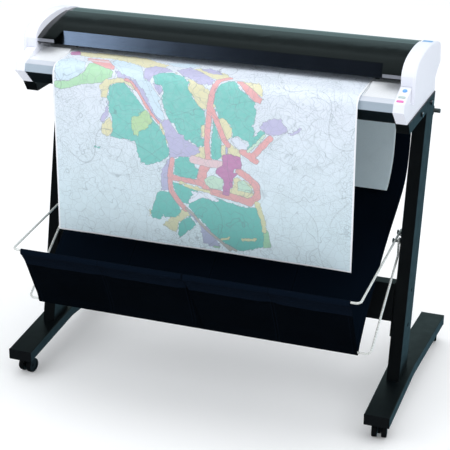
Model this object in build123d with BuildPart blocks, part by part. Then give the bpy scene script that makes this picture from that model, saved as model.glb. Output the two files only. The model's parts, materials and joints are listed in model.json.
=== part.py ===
from build123d import *
import math
import os

os.makedirs("parts", exist_ok=True)

# Large format sheet scanner/plotter body on a castored stand with a sling basket.
# Origin: on the floor, midway between the feet. X to the machine's right,
# Y to the back, Z up. Millimetres.

# ---------------------------------------------------------------- dimensions
FOOT_IN, FOOT_OUT = 490.0, 560.0        # foot bar, inner and outer faces
FOOT_Y = 325.5                          # half length of a foot
FOOT_Z0, FOOT_H = 52.7, 31.0            # underside at the ends, bar height
FOOT_KINK_Y, FOOT_RISE = -54.0, 23.6    # shallow roof shape of the bar
COL_IN, COL_OUT = 504.0, 539.0          # column and arm, inner and outer faces
COL_Y0, COL_Z0 = -149.2, 101.5          # front edge of the column at its foot
RAKE = 0.2256                           # column leans back going up
COL_DEPTH = 90.5
UNIT_Z0 = 848.0                         # underside of the machine body
INNER, BLOCK = 507.3, 535.8             # end caps: inner face, control block
SKIRT_IN, SKIRT_OUT = 536.2, 544.5      # lid cap's outer skirt
TABLE_Z = 924.0                         # flat part of the sheet table
HINGE_Y, HINGE_Z = 92.0, 924.0          # lid hinge axis
PIN_R = 4.0
RUN = 0.05                              # radial running clearance
ROLL_R, ROLL_Z = 10.0, 914.3            # feed rollers
ROLL_FRONT_Y, ROLL_REAR_Y = -75.0, 45.0
MOTOR_Y, MOTOR_Z = -15.0, 876.0
PULLEY_R, MOTOR_PULLEY_R = 12.0, 8.0
WIRE_R = 3.0
UP_X, UP_Y, UP_Z = 487.0, -396.0, 437.0     # upper wire loop, front corner
LO_X, LO_Y, LO_Z = 495.0, -303.0, 250.0     # lower wire loop, front corner
PEG_A = (12.0, 468.0)                       # pivot peg of the upper loop
PEG_B = (-38.0, 463.4)                      # peg of the lower loop
PEG_R = 4.0
ROD_Y, ROD_Z, ROD_R = 192.0, 766.0, 6.0
CLOTH_X, CLOTH_T = 462.0, 1.6
SHEET_W, SHEET_T = 841.0, 0.6
WHEEL_R, WHEEL_W = 21.0, 15.0
CASTER_X, CASTER_Y = 526.0, 296.0
TRAIL = 15.0


# ------------------------------------------------------------------- helpers
def prism(points, x0, x1, mode=Mode.ADD):
    """Profile in the YZ plane, extruded from x0 to x1."""
    with BuildSketch(Plane.YZ.offset(min(x0, x1))) as sk:
        with BuildLine():
            Polyline(*points, close=True)
        make_face()
    extrude(sk.sketch, amount=abs(x1 - x0), mode=mode)


def curved_prism(runs, x0, x1, mode=Mode.ADD):
    """Profile in the YZ plane made of runs in turn: ("curve", points) is one
    smooth spline, ("line", points) straight. Gaps between runs are closed."""
    with BuildSketch(Plane.YZ.offset(min(x0, x1))) as sk:
        with BuildLine():
            for i, (kind, pts) in enumerate(runs):
                if kind == "curve":
                    Spline(*pts)
                elif len(pts) > 1:
                    Polyline(*pts)
                nxt = runs[(i + 1) % len(runs)][1][0]
                if math.dist(pts[-1], nxt) > 1e-6:
                    Line(pts[-1], nxt)
        make_face()
    extrude(sk.sketch, amount=abs(x1 - x0), mode=mode)


def rod_x(y, z, r, x0, x1, mode=Mode.ADD):
    """Cylinder along X."""
    with BuildSketch(Plane.YZ.offset(min(x0, x1))) as sk:
        with Locations((y, z)):
            Circle(r)
    extrude(sk.sketch, amount=abs(x1 - x0), mode=mode)


def block(x0, x1, y0, y1, z0, z1, mode=Mode.ADD):
    """Box between two corners."""
    with BuildSketch(Plane.XY.offset(z0)) as sk:
        with Locations(((x0 + x1) / 2, (y0 + y1) / 2)):
            Rectangle(abs(x1 - x0), abs(y1 - y0))
    extrude(sk.sketch, amount=z1 - z0, mode=mode)


def post(x, y, r, z0, z1, mode=Mode.ADD):
    """Cylinder along Z."""
    with BuildSketch(Plane.XY.offset(z0)) as sk:
        with Locations((x, y)):
            Circle(r)
    extrude(sk.sketch, amount=z1 - z0, mode=mode)


def arc_points(cy, cz, r, a0, a1, n):
    return [
        (cy + r * math.cos(math.radians(a0 + (a1 - a0) * i / n)),
         cz + r * math.sin(math.radians(a0 + (a1 - a0) * i / n)))
        for i in range(n + 1)
    ]


def smooth(points, step=14.0):
    """Catmull-Rom resample of a polyline in the YZ plane."""
    pts = [points[0]] + list(points) + [points[-1]]
    out = []
    for i in range(1, len(pts) - 2):
        p0, p1, p2, p3 = pts[i - 1], pts[i], pts[i + 1], pts[i + 2]
        n = max(1, int(math.dist(p1, p2) / step))
        for k in range(n):
            t = k / n
            out.append(tuple(
                0.5 * (2 * p1[j] + (p2[j] - p0[j]) * t
                       + (2 * p0[j] - 5 * p1[j] + 4 * p2[j] - p3[j]) * t * t
                       + (3 * p1[j] - p0[j] - 3 * p2[j] + p3[j]) * t ** 3)
                for j in (0, 1)))
    out.append(points[-1])
    return out


def ribbon(points, t):
    """Closed outline of a thin strip of thickness t along a centre line."""
    left, right = [], []
    for i, p in enumerate(points):
        a = points[max(0, i - 1)]
        b = points[min(len(points) - 1, i + 1)]
        dy, dz = b[0] - a[0], b[1] - a[1]
        s = math.hypot(dy, dz)
        ny, nz = -dz / s, dy / s
        left.append((p[0] + ny * t / 2, p[1] + nz * t / 2))
        right.append((p[0] - ny * t / 2, p[1] - nz * t / 2))
    return left + right[::-1]


def foot_bottom(y):
    if y < FOOT_KINK_Y:
        return FOOT_Z0 + FOOT_RISE * (y + FOOT_Y) / (FOOT_KINK_Y + FOOT_Y)
    return FOOT_Z0 + FOOT_RISE * (FOOT_Y - y) / (FOOT_Y - FOOT_KINK_Y)


def foot_top(y):
    return foot_bottom(y) + FOOT_H


def col_front(z):
    return COL_Y0 + (z - COL_Z0) * RAKE


def save(piece, name):
    piece.part.label = name
    export_step(piece.part, f"parts/{name}.step")


SIDES = (("left", -1), ("right", 1))

# ---------------------------------------------------------------------- feet
for side, s in SIDES:
    with BuildPart() as foot:
        ye = FOOT_Y - 3.0
        prism([(-ye, foot_bottom(-ye)), (FOOT_KINK_Y, foot_bottom(FOOT_KINK_Y)),
               (ye, foot_bottom(ye)), (ye, foot_top(ye)),
               (FOOT_KINK_Y, foot_top(FOOT_KINK_Y)), (-ye, foot_top(-ye))],
              s * FOOT_IN, s * FOOT_OUT)
        long_edges = foot.edges().filter_by(
            lambda e: e.length > 200 and abs((e @ 0).X - (e @ 1).X) < 0.01)
        fillet(long_edges, 2.5)
        # hollow tube, open at both ends
        prism([(-ye - 1, foot_bottom(-ye) + 2.5), (FOOT_KINK_Y, foot_bottom(FOOT_KINK_Y) + 2.5),
               (ye + 1, foot_bottom(ye) + 2.5), (ye + 1, foot_top(ye) - 2.5),
               (FOOT_KINK_Y, foot_top(FOOT_KINK_Y) - 2.5), (-ye - 1, foot_top(-ye) - 2.5)],
              s * (FOOT_IN + 2.5), s * (FOOT_OUT - 2.5), Mode.SUBTRACT)
        # caster stem holes
        for y in (-CASTER_Y, CASTER_Y):
            post(s * CASTER_X, y, 5.0 + RUN, 40, 68, Mode.SUBTRACT)
    save(foot, f"{side}_foot")

with BuildPart() as foot_end_caps:
    for side, s in SIDES:
        for e in (-1, 1):
            y = e * (FOOT_Y - 3.0)
            zb = foot_bottom(y)
            prism([(y, zb), (e * FOOT_Y, foot_bottom(e * FOOT_Y)),
                   (e * FOOT_Y, foot_top(e * FOOT_Y)), (y, zb + FOOT_H)],
                  s * FOOT_IN, s * FOOT_OUT)
            yi = e * (FOOT_Y - 15.0)
            prism([(y, zb + 3.2), (yi, foot_bottom(yi) + 3.2),
                   (yi, foot_top(yi) - 3.2), (y, zb + FOOT_H - 3.2)],
                  s * (FOOT_IN + 3.2), s * (FOOT_OUT - 3.2))
    edge = foot_end_caps.edges().filter_by(
        lambda e: abs(abs((e @ 0).Y) - FOOT_Y) < 0.01 and abs(abs((e @ 1).Y) - FOOT_Y) < 0.01)
    fillet(edge, 1.2)
save(foot_end_caps, "foot_end_caps")

# ------------------------------------------------------------------- columns
for side, s in SIDES:
    with BuildPart() as column:
        yb = COL_Y0
        yr = COL_Y0 + COL_DEPTH
        prism([(col_front(foot_top(yb)), foot_top(yb)), (yr, foot_top(yr)),
               (col_front(UNIT_Z0) + COL_DEPTH, UNIT_Z0), (col_front(UNIT_Z0), UNIT_Z0)],
              s * COL_IN, s * COL_OUT)
        tall = column.edges().filter_by(lambda e: e.length > 600)
        fillet(tall, 2.0)
        # hollow tube, open at the top under the machine body
        z0, z1 = 118.0, UNIT_Z0 + 5
        prism([(col_front(z0) + 2.5, z0), (col_front(z0) + COL_DEPTH - 2.5, z0),
               (col_front(z1) + COL_DEPTH - 2.5, z1), (col_front(z1) + 2.5, z1)],
              s * (COL_IN + 2.5), s * (COL_OUT - 2.5), Mode.SUBTRACT)
        # access holes and bolt holes of the cross beam
        for z in (332.0, 236.0):
            yc = col_front(z) + COL_DEPTH / 2
            rod_x(yc, z, 4.2, s * (COL_IN - 1), s * (COL_OUT - 4), Mode.SUBTRACT)
            rod_x(yc, z, 7.0, s * (COL_OUT - 5), s * (COL_OUT + 1), Mode.SUBTRACT)
        # arm bolt at the top
        rod_x(66, 829, 4.2, s * (COL_IN - 1), s * (COL_OUT + 1), Mode.SUBTRACT)
        # peg seats
        for py, pz in (PEG_A, PEG_B):
            rod_x(py, pz, PEG_R, s * (COL_IN - 1), s * (COL_IN + 4), Mode.SUBTRACT)
    save(column, f"{side}_column")

# ------------------------------------------------------------- top side arms
for side, s in SIDES:
    with BuildPart() as arm:
        prism([(-171, 816), (col_front(816), 816), (col_front(UNIT_Z0), UNIT_Z0),
               (-190, UNIT_Z0)], s * COL_IN, s * COL_OUT)
        long_edges = arm.edges().filter_by(
            lambda e: e.length > 100 and abs((e @ 0).Z - 816) < 0.01)
        fillet(long_edges, 1.5)
        prism([(-165, 818.5), (20, 818.5), (30, UNIT_Z0 - 2.5), (-182, UNIT_Z0 - 2.5)],
              s * (COL_IN + 2.5), s * (COL_OUT - 2.5), Mode.SUBTRACT)
        rod_x(-43, 829, 4.2, s * (COL_IN - 1), s * (COL_OUT + 1), Mode.SUBTRACT)
    save(arm, f"{side}_top_arm")

with BuildPart() as arm_joint_plates:
    for side, s in SIDES:
        block(s * (COL_IN - 3), s * COL_IN, -70, 90, 820, 840)
        for y in (-43, 66):
            rod_x(y, 829, 4.2, s * (COL_IN - 4), s * (COL_IN + 1), Mode.SUBTRACT)
save(arm_joint_plates, "arm_joint_plates")

with BuildPart() as arm_bolts:
    for side, s in SIDES:
        for y in (-43, 66):
            rod_x(y, 829, 4.0, s * (COL_IN - 3), s * COL_OUT)
            rod_x(y, 829, 6.5, s * COL_OUT, s * (COL_OUT + 4))
            rod_x(y, 829, 3.0, s * (COL_OUT + 2), s * (COL_OUT + 5), Mode.SUBTRACT)
            rod_x(y, 829, 6.5, s * (COL_IN - 8), s * (COL_IN - 3))
save(arm_bolts, "arm_bolts")

# ---------------------------------------------------------------- cross beam
with BuildPart() as cross_beam:
    bz0, bz1 = 257.4, 359.6
    prism([(col_front(bz0) + 1, bz0), (col_front(bz0) + 36, bz0),
           (col_front(bz1) + 36, bz1), (col_front(bz1) + 1, bz1)],
          -(COL_IN - 4), COL_IN - 4)
    long_edges = cross_beam.edges().filter_by(Axis.X)
    fillet(long_edges, 2.0)
    prism([(col_front(bz0) + 4, bz0 + 2.5), (col_front(bz0) + 33, bz0 + 2.5),
           (col_front(bz1) + 33, bz1 - 2.5), (col_front(bz1) + 4, bz1 - 2.5)],
          -COL_IN, COL_IN, Mode.SUBTRACT)
    for side, s in SIDES:
        fz0, fz1 = 216.0, 362.0
        prism([(col_front(fz0) + 4, fz0), (col_front(fz0) + 78, fz0),
               (col_front(fz1) + 78, fz1), (col_front(fz1) + 4, fz1)],
              s * (COL_IN - 4), s * COL_IN)
        for z in (332.0, 236.0):
            rod_x(col_front(z) + COL_DEPTH / 2, z, 4.2,
                  s * (COL_IN - 6), s * (COL_IN + 1), Mode.SUBTRACT)
save(cross_beam, "cross_beam")

with BuildPart() as beam_bolts:
    for side, s in SIDES:
        for z in (332.0, 236.0):
            yc = col_front(z) + COL_DEPTH / 2
            rod_x(yc, z, 4.0, s * (COL_IN - 4), s * (COL_OUT - 3))
            rod_x(yc, z, 6.5, s * (COL_OUT - 3), s * (COL_OUT - 0.5))
            rod_x(yc, z, 3.0, s * (COL_OUT - 2), s * (COL_OUT + 1), Mode.SUBTRACT)
            rod_x(yc, z, 6.5, s * (COL_IN - 9), s * (COL_IN - 4))
save(beam_bolts, "beam_bolts")

# ---------------------------------------------------- rear rod of the basket
rod_top = (ROD_Y, ROD_Z)
with BuildPart() as rear_rod:
    rod_x(ROD_Y, ROD_Z, ROD_R, -538, 538)
    ends = rear_rod.edges().filter_by(GeomType.CIRCLE)
    fillet(ends, 1.0)
save(rear_rod, "rear_rod")

with BuildPart() as rear_rod_brackets:
    for side, s in SIDES:
        y0 = col_front(ROD_Z) + COL_DEPTH
        prism([(y0 + 14 * RAKE - 0.0, ROD_Z + 14), (y0 - 14 * RAKE, ROD_Z - 14)]
              + arc_points(ROD_Y, ROD_Z, 13, -90, 90, 10),
              s * 515, s * 519)
        prism([(y0 + 24 * RAKE, ROD_Z + 24), (y0 - 24 * RAKE, ROD_Z - 24),
               (y0 - 24 * RAKE + 4, ROD_Z - 24), (y0 + 24 * RAKE + 4, ROD_Z + 24)],
              s * 507, s * 536)
        rod_x(ROD_Y, ROD_Z, ROD_R, s * 510, s * 525, Mode.SUBTRACT)
save(rear_rod_brackets, "rear_rod_brackets")

# ---------------------------------------------------------------- wire loops
with BuildPart() as basket_pegs:
    for side, s in SIDES:
        for py, pz in (PEG_A, PEG_B):
            rod_x(py, pz, PEG_R, s * 480, s * (COL_IN + 4))
            rod_x(py, pz, 6.5, s * 477, s * 480)
            rod_x(py, pz, 7.5, s * 500.5, s * COL_IN)
save(basket_pegs, "basket_pegs")


EYE = PEG_R + 0.4 + WIRE_R                  # bend radius of the eye round a peg


def wire_loop(x, peg, tangent_deg, points):
    """U-shaped wire: an eye hooked over each peg, two arms, one front bar."""
    def on_eye(deg):
        return (peg[0] + EYE * math.cos(math.radians(deg)),
                peg[1] + EYE * math.sin(math.radians(deg)))
    run = [on_eye(tangent_deg)] + points
    mid, end = on_eye(tangent_deg - 125), on_eye(tangent_deg - 250)
    with BuildLine() as path:
        ThreePointArc((-x, *end), (-x, *mid), (-x, *run[0]))
        FilletPolyline(*[(-x, *p) for p in run], *[(x, *p) for p in run[::-1]], radius=14)
        ThreePointArc((x, *run[0]), (x, *mid), (x, *end))
    a = math.radians(tangent_deg - 250)
    with BuildSketch(Plane(origin=(-x, *end), z_dir=(0, -math.sin(a), math.cos(a)))) as sec:
        Circle(WIRE_R)
    sweep(sec.sketch, path=path.wire())


# the upper arm touches the eye circle of its peg from above
d = math.dist((UP_Y, UP_Z), PEG_A)
to_corner = math.degrees(math.atan2(UP_Z - PEG_A[1], UP_Y - PEG_A[0])) % 360
upper_tangent = to_corner - math.degrees(math.acos(EYE / d))
with BuildPart() as upper_wire_loop:
    wire_loop(UP_X, PEG_A, upper_tangent, [(UP_Y, UP_Z)])
save(upper_wire_loop, "upper_wire_loop")

with BuildPart() as lower_wire_loop:
    wire_loop(LO_X, PEG_B, 180.0,
              [(PEG_B[0] - EYE, 424.0), (-112.0, 380.0), (LO_Y, LO_Z)])
save(lower_wire_loop, "lower_wire_loop")

# -------------------------------------------------------------- cloth basket
CR = WIRE_R + 0.4 + CLOTH_T / 2
RR = ROD_R + 0.4 + CLOTH_T / 2
cloth_line = (
    arc_points(ROD_Y, ROD_Z, RR, -40, 180, 12)
    + smooth([(ROD_Y - RR - 0.3, 745), (181, 703), (171, 640), (152, 590), (120, 553),
              (70, 522), (0, 483), (-75, 437), (-150, 385), (-230, 324), (-290, 262)])
    + arc_points(LO_Y - 1.0, LO_Z - 1.0, CR + 1.6, -60, -170, 8)
    + smooth([(-318, 275), (-345, 330), (-378, 400), (UP_Y - CR - 1.0, UP_Z - 8)])
    + arc_points(UP_Y, UP_Z, CR, 180, 0, 10)
    + [(UP_Y + CR + 0.3, UP_Z - 6), (UP_Y + CR + 3.5, UP_Z - 16)]
)
with BuildPart() as basket_fabric:
    prism(ribbon(cloth_line, CLOTH_T), -CLOTH_X, CLOTH_X)
save(basket_fabric, "basket_fabric")

# ------------------------------------------------------------------- casters
CASTERS = (("front_left", -1, -1, 80.0), ("front_right", 1, -1, 100.0),
           ("rear_left", -1, 1, 75.0), ("rear_right", 1, 1, 105.0))
for name, sx, sy, heading in CASTERS:
    cx, cy = sx * CASTER_X, sy * CASTER_Y
    ca, sa = math.cos(math.radians(heading)), math.sin(math.radians(heading))
    # the wheel trails the stem along the heading, its axle is square to it
    trail = Vector(ca * TRAIL, sa * TRAIL, 0)
    axle = Vector(-sa, ca, 0)
    wheel_c = Vector(cx, cy, WHEEL_R) + trail
    side_plane = Plane(origin=wheel_c, x_dir=Vector(ca, sa, 0), z_dir=axle)
    zu = foot_bottom(cy) - 1.8
    up = 1 if side_plane.y_dir.Z > 0 else -1
    with BuildPart() as housing:
        # hood between the two wheels
        with BuildSketch(side_plane.offset(-4.5)):
            with BuildLine():
                h = zu - 3.0 - WHEEL_R
                Polyline((-TRAIL - 12, up * (h - 9)), (-TRAIL - 12, up * (h - 1)),
                         (-TRAIL + 10, up * h), (2, up * (h - 1)), (14, up * 12),
                         (9, up * -7), (-7, up * -9), (-12, up * 4), close=True)
            make_face()
        extrude(amount=9.0)
        # axle hole
        with BuildSketch(side_plane.offset(-6)):
            Circle(3.0 + RUN)
        extrude(amount=12, mode=Mode.SUBTRACT)
        # swivel boss and stem
        post(cx, cy, 12.0, zu - 10, zu)
        post(cx, cy, 5.0, zu - 4, 72)
        post(cx, cy, 7.5, 71, 74)
        # the boss stays clear of the wheels
        for k in (-1, 1):
            with BuildSketch(side_plane.offset(k * 5.2 - (WHEEL_W + 2 if k < 0 else 0))):
                Circle(WHEEL_R + 0.8)
            extrude(amount=WHEEL_W + 2, mode=Mode.SUBTRACT)
    save(housing, f"{name}_caster_housing")
    with BuildPart() as wheels:
        for k in (-1, 1):
            with BuildSketch(side_plane.offset(5.5 if k > 0 else -5.5 - WHEEL_W)):
                Circle(WHEEL_R)
            extrude(amount=WHEEL_W)
        rims = wheels.edges().filter_by(GeomType.CIRCLE)
        fillet(rims, 3.0)
        with BuildSketch(side_plane.offset(-8)):
            Circle(3.0)
        extrude(amount=16)
        for k in (-1, 1):
            with BuildSketch(side_plane.offset(5.5 + WHEEL_W - 2 if k > 0 else -5.5 - WHEEL_W - 1)):
                Circle(WHEEL_R - 6)
                Circle(4.5, mode=Mode.SUBTRACT)
            extrude(amount=3, mode=Mode.SUBTRACT)
    save(wheels, f"{name}_caster_wheels")

# ------------------------------------------------------------- base: chassis
with BuildPart() as base_chassis:
    block(-505, 505, -188, 108, UNIT_Z0, UNIT_Z0 + 2)
    block(-505, 505, -188, -186, UNIT_Z0 + 2, 884)
    block(-505, 505, 106, 108, UNIT_Z0 + 2, 900)
    for k in range(7):
        x = -360 + k * 120
        with BuildSketch(Plane.XY.offset(UNIT_Z0 - 1)) as sk:
            with Locations((x, -120)):
                SlotOverall(50, 6)
        extrude(sk.sketch, amount=5, mode=Mode.SUBTRACT)
    # rear cut-outs behind the inlet and the data port
    block(-263, -231, 105, 109, 865.5, 888.5, Mode.SUBTRACT)
    block(-207, -189, 105, 109, 856, 879, Mode.SUBTRACT)
save(base_chassis, "base_chassis")

with BuildPart() as side_frames:
    for s in (-1, 1):
        prism([(-184, 850), (104, 850), (104, 905), (80, 920.5), (-120, 920.5), (-184, 884)],
              s * 484, s * 488)
        for y in (ROLL_FRONT_Y, ROLL_REAR_Y):
            rod_x(y, ROLL_Z, 6.4, s * 488, s * 491)
            rod_x(y, ROLL_Z, 4.0 + RUN, s * 480, s * 495, Mode.SUBTRACT)
        if s > 0:
            rod_x(MOTOR_Y, MOTOR_Z, 6.2, 480, 490, Mode.SUBTRACT)
        block(s * 470, s * 484, -180, 100, 850, 852)
save(side_frames, "side_frames")

# ---------------------------------------------------------------- base: table
SLEEVES = (-400.0, -240.0, -80.0, 80.0, 240.0, 400.0)
SLEEVE_L = 60.0
with BuildPart() as table_middle:
    prism([(-120, TABLE_Z - 3), (102, TABLE_Z - 3), (106, 916), (108.5, 917.5),
           (103.5, TABLE_Z), (-120, TABLE_Z)], -INNER, INNER)
    prism([(-210, 913.8), (-120, TABLE_Z - 3), (-118, TABLE_Z - 1.5),
           (-120, TABLE_Z), (-210, 916.8)], -423, 423)
    block(-470.3, 470.3, -45.3, 15.3, 915, 930, Mode.SUBTRACT)
    for x in SLEEVES:
        for y in (ROLL_FRONT_Y, ROLL_REAR_Y):
            block(x - SLEEVE_L / 2 - 2, x + SLEEVE_L / 2 + 2, y - 10, y + 10, 915, 930, Mode.SUBTRACT)
    # relief over the drive belt
    block(491.5, 504.5, -92, 62, 915, 922.4, Mode.SUBTRACT)
    # clearance for the hinge knuckles of the base caps
    for s in (-1, 1):
        block(s * (INNER - 0.2), s * (INNER + 1), 70, 120, 900, 940, Mode.SUBTRACT)
save(table_middle, "table_middle")

for side, s in SIDES:
    with BuildPart() as ramp:
        curved_prism([
            ("curve", [(-210.4, 916.8), (-185, 917.2), (-160, 919.2), (-140, 923.0), (-121.5, 929.5)]),
            ("line", [(-120.3, 926.5), (-120.3, 921), (-150, 916.4), (-180, 913.8), (-210.4, 913.4)])],
            s * 423.4, s * INNER)
    save(ramp, f"{side}_ramp_plate")

with BuildPart() as front_nose:
    prism([(-210.9, 916.8), (-222, 914.6), (-230.6, 910.4), (-236, 889.4), (-224, 889.4),
           (-221.5, 900), (-200, 905), (-200, 908), (-211, 908.5), (-210.9, 913.2)],
          -INNER, INNER)
save(front_nose, "front_nose")

with BuildPart() as underside_panel:
    prism([(-194, UNIT_Z0 + 0.5), (-232, 887.2), (-232, 889.2), (-226, 889.2),
           (-189, 851), (-188.2, 848.5)], -INNER, INNER)
save(underside_panel, "underside_panel")

with BuildPart() as rear_panel:
    block(-INNER, INNER, 108.2, 110.2, 849, 912)
    for i in range(12):
        for sx in (-1, 1):
            block(sx * (330 + i * 9) - 2, sx * (330 + i * 9) + 2, 107, 112, 866, 896, Mode.SUBTRACT)
    block(-262, -232, 107, 112, 866, 888, Mode.SUBTRACT)
    block(-205, -191, 107, 112, 870, 878, Mode.SUBTRACT)
save(rear_panel, "rear_panel")

with BuildPart() as power_inlet:
    block(-261.5, -232.5, 92, 112, 866.5, 887.5)
    block(-258, -236, 98, 113, 870, 884, Mode.SUBTRACT)
    for dx in (-6, 0, 6):
        block(-247 + dx - 1.2, -247 + dx + 1.2, 97, 108, 875, 880)
save(power_inlet, "power_inlet")

# ------------------------------------------------------------- base: end caps
PANEL_A, PANEL_B = (-165.0, 936.0), (-230.6, 910.7)
panel_dir = Vector(0, PANEL_B[0] - PANEL_A[0], PANEL_B[1] - PANEL_A[1]).normalized()
panel_n = Vector(0, panel_dir.Z, -panel_dir.Y)      # outward normal of the sloped panel
base_profile = (
    [PANEL_A, PANEL_B, (-238, 890.6), (-194, UNIT_Z0), (110.2, UNIT_Z0), (110.2, 908), (104, 908)]
    + arc_points(HINGE_Y, HINGE_Z, 12.0, 0, 90, 6)
)
BUTTONS = (("start_button", 522.5, -178.7, 6.0, 0.0),
           ("scan_button", 521.5, -203.3, 9.3, 3.6),
           ("stop_button", 520.8, -218.9, 9.2, 3.6))
for side, s in SIDES:
    with BuildPart() as cap:
        prism(base_profile, s * INNER, s * BLOCK)
        corner = cap.edges().filter_by(
            lambda e: abs(abs((e @ 0).X) - BLOCK) < 0.01 and abs(abs((e @ 1).X) - BLOCK) < 0.01
            and (e @ 0.5).Y < -166 and (e @ 0.5).Z > 880)
        fillet(corner, 2.0)
        # hollow, open underneath where it stands on the arm
        prism([(-160, 930), (-222, 906), (-228, 894), (-188, 856), (-180, 846), (70, 846),
               (70, 905), (60, 930)], s * (INNER + 2.5), s * (BLOCK - 2.5), Mode.SUBTRACT)
        # bore of the lid hinge
        rod_x(HINGE_Y, HINGE_Z, PIN_R + RUN, s * (INNER - 1), s * (BLOCK + 1), Mode.SUBTRACT)
        if s > 0:
            # button wells, square to the sloped panel
            for bname, bx, by, r, half in BUTTONS:
                t = (by - PANEL_A[0]) / (PANEL_B[0] - PANEL_A[0])
                bz = PANEL_A[1] + t * (PANEL_B[1] - PANEL_A[1])
                pl = Plane(origin=(bx, by, bz), x_dir=(1, 0, 0), z_dir=panel_n)
                with BuildSketch(pl.offset(-14)) as sk:
                    if half:
                        SlotOverall(2 * r + 0.6, 2 * half + 0.6)
                    else:
                        Circle(r + 0.3)
                extrude(sk.sketch, amount=20, mode=Mode.SUBTRACT)
    save(cap, f"{side}_base_cap")

for bname, bx, by, r, half in BUTTONS:
    t = (by - PANEL_A[0]) / (PANEL_B[0] - PANEL_A[0])
    bz = PANEL_A[1] + t * (PANEL_B[1] - PANEL_A[1])
    pl = Plane(origin=(bx, by, bz), x_dir=(1, 0, 0), z_dir=panel_n)
    with BuildPart() as button:
        with BuildSketch(pl.offset(-9)) as sk:
            if half:
                SlotOverall(2 * r, 2 * half)
            else:
                Circle(r)
        extrude(sk.sketch, amount=10.5)
        # retaining flange under the wall of the cap
        with BuildSketch(pl.offset(-9.6)) as fl:
            if half:
                SlotOverall(2 * r + 1.8, 2 * half + 1.8)
            else:
                Circle(r + 0.9)
        extrude(fl.sketch, amount=1.4)
        top = button.faces().sort_by(lambda f: (f.center() - Vector(bx, by, bz)).dot(panel_n))[-1]
        fillet(top.edges(), 0.6)
    save(button, bname)

# ------------------------------------------------------ base: scanning parts
with BuildPart() as scan_glass:
    block(-470, 470, -45, 15, TABLE_Z - 3, TABLE_Z)
save(scan_glass, "scan_glass")

with BuildPart() as sensor_module:
    block(-455, 455, -36, 6, 896, 918)
    block(-440, 440, -18, -12, 918, 919.5)
    for x in (-420, 0, 420):
        block(x - 10, x + 10, -30, 0, 850, 896)
save(sensor_module, "sensor_module")

for name, y in (("front_feed_roller", ROLL_FRONT_Y), ("rear_feed_roller", ROLL_REAR_Y)):
    with BuildPart() as roller:
        rod_x(y, ROLL_Z, 4.0, -493, 503)
        for x in SLEEVES:
            rod_x(y, ROLL_Z, ROLL_R, x - SLEEVE_L / 2, x + SLEEVE_L / 2)
        rod_x(y, ROLL_Z, 5.5, -483, -480)
        rod_x(y, ROLL_Z, 5.5, 480, 483)
        rod_x(y, ROLL_Z, 6.8, 493, 494)
        rod_x(y, ROLL_Z, 6.0, 494, 502)
        rod_x(y, ROLL_Z, 6.8, 502, 503)
    save(roller, name)

with BuildPart() as motor_pulley:
    rod_x(MOTOR_Y, MOTOR_Z, MOTOR_PULLEY_R, 493.5, 494.5)
    rod_x(MOTOR_Y, MOTOR_Z, MOTOR_PULLEY_R - 2.0, 494.5, 501.5)
    rod_x(MOTOR_Y, MOTOR_Z, MOTOR_PULLEY_R, 501.5, 502.5)
    rod_x(MOTOR_Y, MOTOR_Z, 2.5, 484, 493.5)
save(motor_pulley, "motor_pulley")

with BuildPart() as drive_motor:
    block(457, 480, MOTOR_Y - 21, MOTOR_Y + 21, MOTOR_Z - 21, MOTOR_Z + 21)
    rod_x(MOTOR_Y, MOTOR_Z, 11, 480, 484)
    rod_x(MOTOR_Y, MOTOR_Z, 2.5 + RUN, 478, 486, Mode.SUBTRACT)
    fillet(drive_motor.edges().filter_by(Axis.X), 3)
save(drive_motor, "drive_motor")

with BuildPart() as drive_belt:
    # belt line around the two roller pulleys and the motor pulley
    with BuildSketch(Plane.YZ.offset(495)) as outer:
        with Locations((ROLL_FRONT_Y, ROLL_Z), (ROLL_REAR_Y, ROLL_Z)):
            Circle(6.0 + 0.3 + 1.3)
        with Locations((MOTOR_Y, MOTOR_Z)):
            Circle(6.0 + 0.3 + 1.3)
        make_hull()
    extrude(outer.sketch, amount=6.0)
    with BuildSketch(Plane.YZ.offset(494)) as inner:
        with Locations((ROLL_FRONT_Y, ROLL_Z), (ROLL_REAR_Y, ROLL_Z)):
            Circle(6.0 + 0.3)
        with Locations((MOTOR_Y, MOTOR_Z)):
            Circle(6.0 + 0.3)
        make_hull()
    extrude(inner.sketch, amount=8.0, mode=Mode.SUBTRACT)
save(drive_belt, "drive_belt")

with BuildPart() as main_board:
    block(-210, -60, 20, 100, 856, 857.6)
    for x, y in ((-204, 26), (-66, 26), (-204, 94), (-66, 94)):
        block(x - 3, x + 3, y - 3, y + 3, 850, 856)
    block(-206, -190, 82, 106, 857.6, 869.5)
    block(-150, -120, 45, 75, 857.6, 860)
    block(-100, -80, 40, 50, 857.6, 862)
save(main_board, "main_board")

with BuildPart() as power_supply:
    block(-390, -265, 15, 90, 850, 892)
    for i in range(8):
        block(-380 + i * 14, -376 + i * 14, 25, 80, 888, 893, Mode.SUBTRACT)
save(power_supply, "power_supply")

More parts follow.
